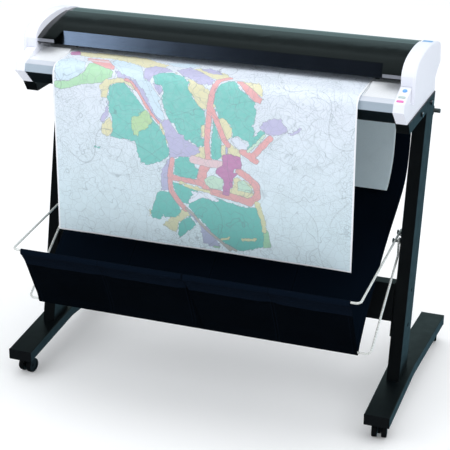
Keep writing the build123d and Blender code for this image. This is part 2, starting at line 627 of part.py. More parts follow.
# ------------------------------------------------------------------ lid: cover
COVER_FRONT = [(-155.7, 961.3), (-136, 969.6), (-114.6, 976.8), (-88, 983.6), (-60, 988.6),
               (-30, 992.3), (0, 994.4), (23.5, 995.0)]
COVER_REAR = [(24.7, 993.4), (60, 991.6), (86.7, 988.4), (103, 982), (112.0, 972), (115.5, 962)]
with BuildPart() as top_cover:
    inner = [(112.6, 961), (109.4, 970.4), (101.2, 979.4), (86, 985.4), (60, 988.6),
             (24, 990.4), (0, 991.4), (-30, 989.3), (-60, 985.6), (-88, 980.6), (-114, 973.8),
             (-134, 967), (-152.4, 959.4), (-152, 949)]
    curved_prism([("line", [(-155.0, 949.0)]), ("curve", COVER_FRONT), ("curve", COVER_REAR),
                  ("line", inner)], -INNER, INNER)
    # notch for the recessed visor, flaring out towards the lip
    with BuildSketch(Plane.XY.offset(940)) as notch:
        with BuildLine():
            Polyline((-457.5, -166), (457.5, -166), (448, -114.3), (-448, -114.3), close=True)
        make_face()
    extrude(notch.sketch, amount=60, mode=Mode.SUBTRACT)
    # cheeks closing the two ends of the notch
    for s in (-1, 1):
        cheek = [(-152.4, 959.4), (-152, 949), (-149, 946), (-128, 941.5), (-112, 973.0), (-116, 973.2),
                 (-134, 967)]
        with BuildSketch(Plane.YZ.offset(458 if s > 0 else -461)) as ck:
            with BuildLine():
                Polyline(*cheek, close=True)
            make_face()
        extrude(ck.sketch, amount=3)
        # strip behind the visor's end, so the notch has no gap there
        prism([(-113.4, 976.0), (-128.1, 941.8), (-125.8, 940.8), (-111.4, 974.0)], s * 448.1, s * 459)
save(top_cover, "top_cover")

with BuildPart() as visor_panel:
    prism([(-114.5, 976.2), (-129.2, 942.0), (-126.8, 941.0), (-113.2, 972.8), (-114.5, 973.4)],
          -447.8, 447.8)
save(visor_panel, "visor_panel")

# --------------------------------------------------------------- lid: end caps
cap_top = smooth([(-163.5, 962), (-158, 974), (-146, 985), (-124, 995.5), (-90, 1002.5), (-42, 1006.6),
                  (0, 1005.8), (40, 1001.5), (84, 993.5), (107, 985)], 10)
CAP_REAR = [(24.0, 1001.6), (40, 1000.0), (60, 997.0), (84, 991.6), (107, 983.6)]
for side, s in SIDES:
    with BuildPart() as lid_cap:
        prism([(-161.5, 936.6)] + cap_top + [(115, 970), (120.5, 937.0), (120.5, 936.6)],
              s * INNER, s * SKIRT_IN)
        prism([(-167.5, 895), (-164.5, 936.6)] + cap_top
              + [(115, 970), (122, 927.5), (102, 917.6), (74, 902), (66, 895)],
              s * SKIRT_IN, s * SKIRT_OUT)
        rim = lid_cap.edges().filter_by(
            lambda e: abs(abs((e @ 0).X) - SKIRT_OUT) < 0.01 and abs(abs((e @ 1).X) - SKIRT_OUT) < 0.01
            and (e @ 0.5).Z > 960 and (e @ 0.5).Y < 110)
        fillet(rim, 5.0)
        # the rear half of the top lies a step lower, in line with the cover's step
        curved_prism([("curve", CAP_REAR), ("line", [(125, 983), (125, 1020), (24.0, 1020)])],
                     s * (INNER - 1), s * (SKIRT_OUT + 1), Mode.SUBTRACT)
        # hollow behind the cover, below its line
        prism([(-150, 941), (-150, 956), (-114, 970), (-60, 981), (0, 987), (60, 984), (98, 974),
               (108, 955), (112, 941)], s * (INNER - 1), s * (SKIRT_OUT - 3.5), Mode.SUBTRACT)
        # press seat of the hinge pin
        rod_x(HINGE_Y, HINGE_Z, PIN_R, s * (SKIRT_IN - 1), s * (SKIRT_OUT - 2), Mode.SUBTRACT)
    save(lid_cap, f"{side}_lid_cap")

with BuildPart() as hinge_pins:
    for s in (-1, 1):
        rod_x(HINGE_Y, HINGE_Z, PIN_R, s * (INNER + 1.5), s * (SKIRT_OUT - 2))
save(hinge_pins, "hinge_pins")

with BuildPart() as label_plate:
    # thin plate on top of the right lid cap, bent to its slope behind the step
    top_line = [(26.5, 1001.52), (33, 1000.87), (40, 1000.12), (47, 999.26), (53.5, 998.28)]
    curved_prism([("curve", top_line), ("line", [(y, z + 0.9) for y, z in reversed(top_line)])], 512.5, 537)
    fillet(label_plate.edges().filter_by(
        lambda e: e.length < 1.2 and abs((e @ 0).Z - (e @ 1).Z) > 0.5), 3)
save(label_plate, "label_plate")

# -------------------------------------------------- lid: frame and idle rollers
with BuildPart() as lid_frame:
    block(-500, 500, -108, 104, 944, 946)
    block(-500, 500, -108, -106, 946, 964)
    block(-500, 500, 102, 104, 946, 962)
    # pressure plate over the glass
    block(-468, 468, -44, 14, 928, 931)
    for x in (-400, -133, 133, 400):
        block(x - 12, x + 12, -30, 0, 931, 944)
    # bearing ears of the idle rollers
    for y in (ROLL_FRONT_Y, ROLL_REAR_Y):
        for x in (-478, 478):
            block(x - 3, x + 3, y - 9, y + 9, 927, 944)
            rod_x(y, 934.0, 3.0 + RUN, x - 5, x + 5, Mode.SUBTRACT)
save(lid_frame, "lid_frame")

for name, y in (("front_idle_roller", ROLL_FRONT_Y), ("rear_idle_roller", ROLL_REAR_Y)):
    with BuildPart() as idle:
        rod_x(y, 934.0, 3.0, -483, 483)
        for x in SLEEVES:
            rod_x(y, 934.0, 8.3, x - 22, x + 22)
        for x in (-474.5, 473.0):
            rod_x(y, 934.0, 5.0, x, x + 1.5)
    save(idle, name)

# ------------------------------------------------------------- loaded map sheet
sheet_line = (
    [(-243.5, 447.0), (-243.0, 560), (-243.2, 700), (-244.5, 800), (-245.0, 850), (-244.3, 884)]
    + smooth([(-244.3, 884), (-242.2, 900), (-236.0, 911.5), (-224, 918.5), (-205, 921.4),
              (-175, 922.6), (-145, 924.3), (-115, 925.1)], 5)[1:]
    + [(-60, 925.1), (0, 925.1), (60, 925.1), (98, 925.1)]
    + smooth([(98, 925.1), (116, 924.0), (134, 919.0), (149, 907), (158, 890), (164, 865), (169, 830),
              (173, 790), (176, 750), (175.5, 703), (166, 643), (147, 598), (120, 564), (100, 549)], 10)[1:]
)
with BuildPart() as document_sheet:
    prism(ribbon(sheet_line, SHEET_T), -SHEET_W / 2, SHEET_W / 2)
save(document_sheet, "document_sheet")
length = sum(math.dist(a, b) for a, b in zip(sheet_line, sheet_line[1:]))
print("sheet length", round(length, 1))
length = sum(math.dist(a, b) for a, b in zip(cloth_line, cloth_line[1:]))
print("cloth length", round(length, 1))
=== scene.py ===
import json
import math

import bmesh
import bpy
import numpy as np
from mathutils import Matrix, Vector, noise


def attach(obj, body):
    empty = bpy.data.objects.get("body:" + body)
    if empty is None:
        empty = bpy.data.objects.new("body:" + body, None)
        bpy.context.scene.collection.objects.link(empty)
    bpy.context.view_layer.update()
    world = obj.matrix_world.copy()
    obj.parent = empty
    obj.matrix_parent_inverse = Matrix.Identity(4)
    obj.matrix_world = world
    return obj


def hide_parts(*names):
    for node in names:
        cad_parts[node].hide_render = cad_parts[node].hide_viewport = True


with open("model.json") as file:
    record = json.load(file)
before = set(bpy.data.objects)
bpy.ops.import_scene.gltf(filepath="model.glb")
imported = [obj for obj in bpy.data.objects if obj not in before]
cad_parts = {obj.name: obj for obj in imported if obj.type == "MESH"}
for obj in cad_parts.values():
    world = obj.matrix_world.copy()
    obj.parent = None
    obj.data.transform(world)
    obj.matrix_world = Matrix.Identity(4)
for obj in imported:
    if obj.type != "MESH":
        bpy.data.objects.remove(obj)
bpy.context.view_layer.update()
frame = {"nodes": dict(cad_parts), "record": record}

MM = 0.001

# ------------------------------------------------------------------ camera
cam_data = bpy.data.cameras.new("camera")
cam = bpy.data.objects.new("camera", cam_data)
bpy.context.scene.collection.objects.link(cam)
bpy.context.scene.camera = cam
cam_data.sensor_width = 36.0
cam_data.lens = 1440.4 / 450 * 36.0
cam_data.dof.use_dof = False
cam_data.clip_start, cam_data.clip_end = 0.1, 60
cam.location = (1.3031, -3.5398, 2.0103)
cam.rotation_euler = (math.radians(90 - 22.825), 0, math.radians(20.508))

# ------------------------------------------------------------------- light
world = bpy.data.worlds.new("world")
bpy.context.scene.world = world
world.use_nodes = True
wt = world.node_tree
ambient = wt.nodes["Background"]
ambient.inputs[0].default_value = (0.94, 0.97, 1.0, 1)
ambient.inputs[1].default_value = 0.98
white = wt.nodes.new("ShaderNodeBackground")
white.inputs[1].default_value = 1.0
white.inputs[0].default_value = (1, 1, 1, 1)
path = wt.nodes.new("ShaderNodeLightPath")
pick = wt.nodes.new("ShaderNodeMixShader")
wt.links.new(path.outputs["Is Camera Ray"], pick.inputs[0])
wt.links.new(ambient.outputs[0], pick.inputs[1])
wt.links.new(white.outputs[0], pick.inputs[2])
wt.links.new(pick.outputs[0], wt.nodes["World Output"].inputs[0])
# the walls of the studio light the room evenly, the panels below make the reflections
world.cycles_visibility.glossy = False
bpy.context.scene.view_settings.view_transform = "Standard"


def area(name, loc, look, size, level, colour=(1, 1, 1), glossy=True, diffuse=True):
    """A softbox or reflector panel; level is its brightness per unit of its own area."""
    d = bpy.data.lights.new(name, "AREA")
    d.shape = "RECTANGLE"
    d.size, d.size_y = size
    d.energy = level * math.pi * size[0] * size[1]
    d.color = colour
    o = bpy.data.objects.new(name, d)
    bpy.context.scene.collection.objects.link(o)
    o.location = loc
    o.rotation_euler = (Vector(look) - Vector(loc)).to_track_quat("-Z", "Y").to_euler()
    o.visible_camera = False
    o.visible_glossy = glossy
    o.visible_diffuse = diffuse
    return o


area("top_softbox", (0.1, -0.2, 3.6), (0.1, -0.2, 0), (3.2, 2.4), 1.15, glossy=False)
area("left_softbox", (-2.9, -2.6, 2.4), (0, 0, 0.7), (1.6, 2.0), 1.55, (0.96, 0.98, 1), glossy=False)
area("right_softbox", (3.4, -1.0, 2.9), (0, 0, 0.9), (1.8, 1.8), 1.25, (0.98, 0.98, 1), glossy=False)
visor_reflector = area("visor_reflector", (-2.65, -3.3, 2.5), (-0.1, -0.13, 0.95), (1.3, 1.8), 4.2, (0.86, 0.93, 1.0), diffuse=False)
left_cap_card = area("left_cap_card", (0.9, -0.15, 1.75), (-0.5, 0, 0.98), (0.9, 0.8), 2.6, (0.98, 0.96, 1), glossy=False)
# panels behind the object, each seen in the cover at its own height above the horizon
area("back_reflector", (0.3, 4.5, 1.20), (0.3, 0, 1.20), (9.0, 2.50), 0.56, (0.66, 0.97, 1.0), diffuse=False)
area("mid_reflector", (0.3, 4.5, 2.88), (0.3, 0, 2.88), (9.0, 0.86), 0.34, (0.70, 0.97, 1.0), diffuse=False)
area("high_reflector", (0.4, 4.2, 3.95), (0.3, 0, 0.95), (8.0, 1.00), 0.10, (0.75, 0.98, 1.0), diffuse=False)
area("roof_reflector", (0.5, 2.6, 4.55), (0.2, 0, 0.95), (7.0, 2.40), 0.21, (0.78, 0.98, 1.0), diffuse=False)
area("low_reflector", (1.5, 4.2, -1.9), (1.0, 0, 0.2), (9.0, 3.2), 0.42, (0.40, 0.80, 1.0), diffuse=False)
area("right_reflector", (3.6, 1.2, 1.3), (0.5, 0, 0.8), (2.4, 2.4), 0.95, (0.48, 0.82, 1.0), diffuse=False)


# --------------------------------------------------------- material helpers
class Tree:
    """Small wrapper to write node trees shortly."""

    def __init__(self, name):
        self.m = bpy.data.materials.new(name)
        self.m.use_nodes = True
        self.t = self.m.node_tree
        self.b = self.t.nodes["Principled BSDF"]
        self.co = self.t.nodes.new("ShaderNodeTexCoord").outputs["Object"]

    def n(self, kind, **props):
        x = self.t.nodes.new(kind)
        for k, v in props.items():
            setattr(x, k, v)
        return x

    def put(self, sock, v):
        if hasattr(v, "is_linked"):
            self.t.links.new(v, sock)
        else:
            sock.default_value = v

    def noise(self, scale, detail=3.0, rough=0.55, vec=None, dist=0.0):
        x = self.n("ShaderNodeTexNoise")
        self.put(x.inputs["Vector"], vec or self.co)
        x.inputs["Scale"].default_value = scale
        x.inputs["Detail"].default_value = detail
        x.inputs["Roughness"].default_value = rough
        x.inputs["Distortion"].default_value = dist
        return x.outputs["Fac"]

    def noise_colour(self, scale, detail=3.0, vec=None):
        x = self.n("ShaderNodeTexNoise")
        self.put(x.inputs["Vector"], vec or self.co)
        x.inputs["Scale"].default_value = scale
        x.inputs["Detail"].default_value = detail
        return x.outputs["Color"]

    def math(self, op, a, b=0.0, c=0.0, clamp=False):
        x = self.n("ShaderNodeMath", operation=op, use_clamp=clamp)
        self.put(x.inputs[0], a)
        self.put(x.inputs[1], b)
        self.put(x.inputs[2], c)
        return x.outputs[0]

    def vmath(self, op, a, b=(0, 0, 0)):
        x = self.n("ShaderNodeVectorMath", operation=op)
        self.put(x.inputs[0], a)
        if op == "SCALE":
            self.put(x.inputs["Scale"], b)
        else:
            self.put(x.inputs[1], b)
        return x.outputs[0]

    def span(self, v, a, b, c=0.0, d=1.0):
        x = self.n("ShaderNodeMapRange")
        x.clamp = True
        self.put(x.inputs["Value"], v)
        for i, q in zip(("From Min", "From Max", "To Min", "To Max"), (a, b, c, d)):
            self.put(x.inputs[i], q)
        return x.outputs["Result"]

    def mix(self, f, a, b, blend="MIX"):
        x = self.n("ShaderNodeMix", data_type="RGBA", blend_type=blend)
        self.put(x.inputs[0], f)
        self.put(x.inputs[6], a if hasattr(a, "is_linked") else (*a[:3], 1))
        self.put(x.inputs[7], b if hasattr(b, "is_linked") else (*b[:3], 1))
        return x.outputs[2]

    def xyz(self, v=None):
        x = self.n("ShaderNodeSeparateXYZ")
        self.put(x.inputs[0], v or self.co)
        return x.outputs

    def vec(self, x, y, z):
        c = self.n("ShaderNodeCombineXYZ")
        for s, v in zip(c.inputs, (x, y, z)):
            self.put(s, v)
        return c.outputs[0]

    def wave(self, scale, direction="X", vec=None, dist=0.0):
        x = self.n("ShaderNodeTexWave", bands_direction=direction)
        self.put(x.inputs["Vector"], vec or self.co)
        x.inputs["Scale"].default_value = scale
        x.inputs["Distortion"].default_value = dist
        return x.outputs["Fac"]

    def bump(self, h, strength=0.3, dist=0.0005, normal=None):
        x = self.n("ShaderNodeBump")
        x.inputs["Strength"].default_value = strength
        x.inputs["Distance"].default_value = dist
        self.put(x.inputs["Height"], h)
        if normal is not None:
            self.put(x.inputs["Normal"], normal)
        return x.outputs["Normal"]

    def done(self, colour=None, rough=None, normal=None, **fixed):
        if colour is not None:
            self.put(self.b.inputs["Base Color"], colour)
        if rough is not None:
            self.put(self.b.inputs["Roughness"], rough)
        if normal is not None:
            self.put(self.b.inputs["Normal"], normal)
        for k, v in fixed.items():
            self.b.inputs[k.replace("_", " ")].default_value = v
        return self.m


def shade(rgb, k):
    return tuple(c * k for c in rgb)


def painted(name, rgb, rough=(0.38, 0.5), grain=900, bump=0.22, variation=0.12, metallic=0.0, spec=0.5):
    """Powder coat or satin paint: orange peel, slight patches, faint rubbed dust."""
    t = Tree(name)
    patches = t.noise(7, 4)
    fine = t.noise(240, 3)
    c = t.mix(t.span(patches, 0.3, 0.7), shade(rgb, 1 - variation), shade(rgb, 1 + variation))
    c = t.mix(t.math("MULTIPLY", t.span(fine, 0.5, 0.75), 0.25), c, shade(rgb, 1.35))
    peel = t.noise(grain, 2)
    r = t.span(t.noise(35, 4), 0.3, 0.7, *rough)
    return t.done(c, r, t.bump(peel, bump, 0.0003), Metallic=metallic, Specular_IOR_Level=spec)


def moulded(name, rgb, rough=(0.34, 0.46), spec=0.5, coat=0.0):
    """Injection moulded plastic: fine spark texture and faint colour drift."""
    t = Tree(name)
    c = t.mix(t.span(t.noise(4, 3), 0.3, 0.7), shade(rgb, 0.97), shade(rgb, 1.02))
    c = t.mix(t.math("MULTIPLY", t.span(t.noise(90, 5, 0.7), 0.55, 0.8), 0.10), c, shade(rgb, 0.8))
    r = t.span(t.noise(22, 4), 0.3, 0.7, *rough)
    return t.done(c, r, t.bump(t.noise(1700, 2), 0.12, 0.0002), Specular_IOR_Level=spec, Coat_Weight=coat)


def metal(name, rgb, rough=(0.22, 0.38), stretch=(1, 1, 1), bump=0.1, grain=500, metallic=1.0):
    """Bare or plated metal with drawn lines along the least stretched axis."""
    t = Tree(name)
    v = t.vmath("MULTIPLY", t.co, stretch)
    lines = t.noise(grain, 4, vec=v)
    c = t.mix(t.span(lines, 0.3, 0.7), shade(rgb, 0.86), rgb)
    c = t.mix(t.math("MULTIPLY", t.span(t.noise(60, 5, 0.7), 0.58, 0.8), 0.3), c, shade(rgb, 0.55))
    return t.done(c, t.span(lines, 0.3, 0.7, *rough), t.bump(lines, bump, 0.0002), Metallic=metallic)


def gloss(name, rgb, rough=(0.14, 0.24), coat=0.5, smudge=0.06):
    """Glossy plastic: faint flow waves, smudges and hairline scratches."""
    t = Tree(name)
    smudges = t.noise(14, 5, 0.65)
    v = t.vmath("MULTIPLY", t.co, (0.25, 1, 1))
    hair = t.noise(420, 2, vec=v)
    c = t.mix(t.span(smudges, 0.35, 0.7), rgb, tuple(x + smudge * 0.12 for x in rgb))
    r = t.math("ADD", t.span(smudges, 0.3, 0.7, *rough), t.span(hair, 0.62, 0.8, 0, 0.08))
    n = t.bump(t.noise(6, 1), 0.03, 0.0005)
    m = t.done(c, r, t.bump(hair, 0.03, 0.0002, n), Coat_Weight=coat)
    t.b.inputs["Coat Roughness"].default_value = 0.12
    return m


def visor_paint():
    """Slate metallic lacquer with fine flake and faint brushed lines along its length."""
    t = Tree("visor_slate")
    v = t.vmath("MULTIPLY", t.co, (0.03, 1, 1))
    lines = t.noise(900, 3, vec=v)
    flake = t.noise(2600, 1)
    c = t.mix(t.span(lines, 0.3, 0.7), (0.070, 0.092, 0.130), (0.085, 0.110, 0.152))
    c = t.mix(t.math("MULTIPLY", t.span(flake, 0.6, 0.75), 0.3), c, (0.13, 0.16, 0.21))
    r = t.span(t.noise(18, 4), 0.3, 0.7, 0.17, 0.21)
    return t.done(c, r, t.bump(lines, 0.04, 0.0002), Metallic=0.92)


def cover_paint():
    """Black gloss cover; a painted reflection, a bright silvery colour with some metallic, sits on the short front edge
    at each end.
    """
    t = Tree("cover_black")
    x, y, z = t.xyz()
    smudges = t.noise(14, 5, 0.65)
    hair = t.noise(420, 2, vec=t.vmath("MULTIPLY", t.co, (0.25, 1, 1)))
    lip_painted_reflection = t.math("MULTIPLY", t.span(z, 0.9608, 0.9612, 1.0, 0.0), t.span(y, -0.1551, -0.1548, 1.0, 0.0))
    lip_painted_reflection = t.math("MULTIPLY", lip_painted_reflection, t.span(t.math("ABSOLUTE", x), 0.4570, 0.4575))
    lip_painted_reflection = t.math("MULTIPLY", lip_painted_reflection, t.span(z, 0.9515, 0.9520))
    c = t.mix(t.span(smudges, 0.35, 0.7), (0.0018, 0.0028, 0.0030), (0.0026, 0.0038, 0.0040))
    # painted reflection: the bright colour on the front edge at each end stands in for the light the gloss mirrors
    # there
    c = t.mix(lip_painted_reflection, c, (0.55, 0.57, 0.64))
    r = t.math("ADD", t.span(smudges, 0.3, 0.7, 0.15, 0.19), t.span(hair, 0.62, 0.8, 0, 0.07))
    n = t.bump(t.noise(6, 1), 0.03, 0.0005)
    m = t.done(c, r, t.bump(hair, 0.03, 0.0002, n), Coat_Weight=0.2)
    t.put(t.b.inputs["Metallic"], t.math("MULTIPLY", lip_painted_reflection, 0.6))
    t.b.inputs["Coat Roughness"].default_value = 0.14
    return m


def nose_paint():
    """Satin silver-grey paint, with painted light and shade: the upper bend is coloured lighter than the front band."""
    t = Tree("nose_grey")
    z = t.xyz()[2]
    top = t.span(z, 0.9095, 0.9115)
    v = t.vmath("MULTIPLY", t.co, (0.02, 1, 1))
    lines = t.noise(260, 4, vec=v)
    # painted light and shade: lighter on the upper bend, darker on the front band, as light falls on the two faces
    c = t.mix(top, (0.42, 0.50, 0.58), (0.74, 0.78, 0.86))
    c = t.mix(t.math("MULTIPLY", t.span(lines, 0.3, 0.7), 0.12), c, (0.30, 0.36, 0.42))
    return t.done(c, t.span(t.noise(30, 4), 0.3, 0.7, 0.34, 0.44), t.bump(lines, 0.05, 0.0002), Metallic=0.15)


MAT = {
    "charcoal_powder_coat": painted("charcoal_powder_coat", (0.0030, 0.0054, 0.0070), (0.36, 0.46), bump=0.12, spec=0.42),
    "black_plastic": moulded("black_plastic", (0.0050, 0.0070, 0.0090), (0.34, 0.46), 0.4),
    "bolt_steel": metal("bolt_steel", (0.62, 0.66, 0.66), (0.25, 0.42)),
    "black_bolt": painted("black_bolt", (0.005, 0.006, 0.007), (0.4, 0.5), spec=0.2),
    # painted reflection: the chromed wire gets a mostly diffuse near-white colour that stands in for the bright room it
    # would mirror
    "chromed_wire": metal("chromed_wire", (0.93, 0.95, 0.91), (0.22, 0.34), (0.1, 1, 1), 0.04, metallic=0.30),
    "white_housing": moulded("white_housing", (0.84, 0.855, 0.93), spec=0.35),
    "table_white": painted("table_white", (0.88, 0.905, 0.93), (0.3, 0.4), spec=0.35, variation=0.03, bump=0.08),
    "nose_grey": nose_paint(),
    "underside_dark": painted("underside_dark", (0.0055, 0.0120, 0.0160), (0.35, 0.5), spec=0.3),
    "cover_black": cover_paint(),
    "visor_slate": visor_paint(),
    "zinc_sheet": metal("zinc_sheet", (0.55, 0.57, 0.58), (0.35, 0.55), (1, 1, 1), 0.08, 60),
    "roller_rubber": moulded("roller_rubber", (0.05, 0.05, 0.055), (0.6, 0.75)),
    "belt_rubber": moulded("belt_rubber", (0.015, 0.015, 0.015), (0.6, 0.75)),
    "circuit_green": moulded("circuit_green", (0.02, 0.16, 0.07), (0.3, 0.45)),
    "button_blue": gloss("button_blue", (0.16, 0.42, 0.86), (0.2, 0.3), 0.3, 0.0),
    "button_grey": gloss("button_grey", (0.52, 0.64, 0.60), (0.25, 0.35), 0.2, 0.0),
    "button_pink": gloss("button_pink", (0.90, 0.22, 0.55), (0.2, 0.3), 0.3, 0.0),
    "label_blue": gloss("label_blue", (0.13, 0.40, 0.80), (0.25, 0.35), 0.2, 0.0),
    "pin_steel": metal("pin_steel", (0.6, 0.6, 0.6), (0.2, 0.32)),
}
glass = Tree("platen_glass")
MAT["platen_glass"] = glass.done(
    glass.mix(glass.noise(3), (0.80, 0.90, 0.88), (0.86, 0.94, 0.92)),
    glass.span(glass.noise(40, 4), 0.4, 0.7, 0.02, 0.07),
    Transmission_Weight=0.9, IOR=1.5)

# ------------------------------------------------------------ mesh helpers
slots = {s["node"]: s["material_slot"] for s in frame["record"]["subparts"]}


def add(name, bm, slot_name, body, mat=None, sharp=32.0):
    """Turns a bmesh into a shaded piece that rides on a body."""
    bmesh.ops.recalc_face_normals(bm, faces=bm.faces)
    limit = math.radians(sharp)
    for f in bm.faces:
        f.smooth = True
    for e in bm.edges:
        e.smooth = not (len(e.link_faces) == 2 and e.calc_face_angle(0) > limit)
    me = bpy.data.meshes.new(name)
    bm.to_mesh(me)
    bm.free()
    o = bpy.data.objects.new(name, me)
    bpy.context.scene.collection.objects.link(o)
    me.materials.append(mat or MAT[slot_name])
    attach(o, body)
    return o


def smooth_line(points, step):
    """Catmull-Rom resample, the same rule that the profiles were drawn with."""
    pts = [points[0]] + list(points) + [points[-1]]
    out = []
    for i in range(1, len(pts) - 2):
        p0, p1, p2, p3 = pts[i - 1], pts[i], pts[i + 1], pts[i + 2]
        n = max(1, int(math.dist(p1, p2) / step))
        for k in range(n):
            t = k / n
            out.append(tuple(
                0.5 * (2 * p1[j] + (p2[j] - p0[j]) * t
                       + (2 * p0[j] - 5 * p1[j] + 4 * p2[j] - p3[j]) * t * t
                       + (3 * p1[j] - p0[j] - 3 * p2[j] + p3[j]) * t ** 3)
                for j in (0, 1)))
    out.append(points[-1])
    return out


def arc_points(cy, cz, r, a0, a1, n):
    return [(cy + r * math.cos(math.radians(a0 + (a1 - a0) * i / n)),
             cz + r * math.sin(math.radians(a0 + (a1 - a0) * i / n))) for i in range(n + 1)]


def resample(line, step):
    """Evenly spaced points along a polyline."""
    p = np.array(line, float)
    d = np.r_[0, np.cumsum(np.linalg.norm(np.diff(p, axis=0), axis=1))]
    n = max(2, int(round(d[-1] / step)))
    s = np.linspace(0, d[-1], n + 1)
    return np.stack([np.interp(s, d, p[:, 0]), np.interp(s, d, p[:, 1])], 1), s


def smoothing(limit_deg):
    """Joins the facets of a curved face for shading and keeps real edges sharp."""
    g = bpy.data.node_groups.new("smooth_facets", "GeometryNodeTree")
    g.interface.new_socket("Geometry", in_out="INPUT", socket_type="NodeSocketGeometry")
    g.interface.new_socket("Geometry", in_out="OUTPUT", socket_type="NodeSocketGeometry")
    a, z = g.nodes.new("NodeGroupInput"), g.nodes.new("NodeGroupOutput")
    drop = g.nodes.new("GeometryNodeRemoveAttribute")
    drop.inputs["Name"].default_value = "custom_normal"
    weld = g.nodes.new("GeometryNodeMergeByDistance")
    weld.inputs["Distance"].default_value = 0.000002
    faces = g.nodes.new("GeometryNodeSetShadeSmooth")
    faces.domain = "FACE"
    faces.inputs["Shade Smooth"].default_value = True
    edges = g.nodes.new("GeometryNodeSetShadeSmooth")
    edges.domain = "EDGE"
    edges.inputs["Shade Smooth"].default_value = False
    angle = g.nodes.new("GeometryNodeInputMeshEdgeAngle")
    more = g.nodes.new("FunctionNodeCompare")
    more.data_type, more.operation = "FLOAT", "GREATER_THAN"
    more.inputs[1].default_value = math.radians(limit_deg)
    g.links.new(angle.outputs["Unsigned Angle"], more.inputs[0])
    g.links.new(more.outputs[0], edges.inputs["Selection"])
    chain = [a.outputs[0]]
    for n_ in (drop, weld, faces, edges):
        g.links.new(chain[-1], n_.inputs["Geometry"])
        chain.append(n_.outputs["Geometry"])
    g.links.new(chain[-1], z.inputs[0])
    return g


SMOOTH = smoothing(27)
MAT["peg_zinc"] = metal("peg_zinc", (0.20, 0.24, 0.24), (0.3, 0.42), metallic=0.7)
for node, o in frame["nodes"].items():
    m = MAT["peg_zinc"] if node in ("basket_pegs", "rear_rod") else MAT.get(slots[node])
    if m is not None:
        for i in range(len(o.material_slots)):
            o.material_slots[i].material = m
    mod = o.modifiers.new("smooth_facets", "NODES")
    mod.node_group = SMOOTH
    mod = o.modifiers.new("face_weights", "WEIGHTED_NORMAL")
    mod.mode, mod.weight, mod.keep_sharp = "FACE_AREA", 50, True

# the visor's panel is a small card close to the lid: the stand and the sheets stay out of it
shielded = bpy.data.collections.new("out_of_visor_reflector")
visor_reflector.light_linking.receiver_collection = shielded


def shield(o):
    shielded.objects.link(o)
    shielded.collection_objects[-1].light_linking.link_state = "EXCLUDE"


for node, o in frame["nodes"].items():
    if slots[node] in ("charcoal_powder_coat", "black_plastic", "underside_dark", "black_bolt"):
        shield(o)

# and the small card beside the cover only fills the inner cheek of the left cap
filled = bpy.data.collections.new("in_left_cap_card")
left_cap_card.light_linking.receiver_collection = filled
for node, o in frame["nodes"].items():
    if slots[node] == "white_housing" and "left" in node:
        filled.objects.link(o)

# ------------------------------------------------------------ printed sheet
SHEET_W = 0.841
sheet_line = (
    [(-243.5, 447.0), (-243.0, 560), (-243.2, 700), (-244.5, 800), (-245.0, 850), (-244.3, 884)]
    + smooth_line([(-244.3, 884), (-242.2, 900), (-236.0, 911.5), (-224, 918.5), (-205, 921.4),
                   (-175, 922.6), (-145, 924.3), (-115, 925.1)], 5)[1:]
    + [(-60, 925.1), (0, 925.1), (60, 925.1), (98, 925.1)]
    + smooth_line([(98, 925.1), (116, 924.0), (134, 919.0), (149, 907), (158, 890), (164, 865), (169, 830),
                   (173, 790), (176, 750), (175.5, 703), (166, 643), (147, 598), (120, 564), (100, 549)], 10)[1:]
)
rows, along = resample(sheet_line, 3.6)
nrm = np.gradient(rows, axis=0)
nrm = np.stack([-nrm[:, 1], nrm[:, 0]], 1)
nrm /= np.linalg.norm(nrm, axis=1)[:, None]
NX = 220
bm = bmesh.new()
uvl = bm.loops.layers.uv.new("flat")
grid = []
for j, (yz, s, n2) in enumerate(zip(rows, along, nrm)):
    hang = max(0.0, min(1.0, (400 - s) / 260)) if s < 400 else 0.0
    tail = max(0.0, min(1.0, (s - 900) / 200))
    line = []
    for i in range(NX + 1):
        u = i / NX
        x = (u - 0.5) * SHEET_W
        w = (1.6 * math.sin(2 * math.pi * (1.15 * u + 0.1)) + 0.9 * math.sin(2 * math.pi * (2.6 * u + 0.35) + s / 240)) * hang
        w += 1.1 * math.sin(2 * math.pi * (1.4 * u + 0.6)) * tail
        # the free corners lift a little
        edge = abs(2 * u - 1) ** 6
        w += 2.0 * edge * max(0.0, 1 - s / 120)
        line.append(bm.verts.new((x, (yz[0] + n2[0] * w) * MM, (yz[1] + n2[1] * w) * MM)))
    grid.append(line)
for j in range(len(grid) - 1):
    for i in range(NX):
        f = bm.faces.new((grid[j][i], grid[j][i + 1], grid[j + 1][i + 1], grid[j + 1][i]))
        for loop, (a, b) in zip(f.loops, ((i, j), (i + 1, j), (i + 1, j + 1), (i, j + 1))):
            loop[uvl].uv = (a / NX * SHEET_W, along[b] * MM)

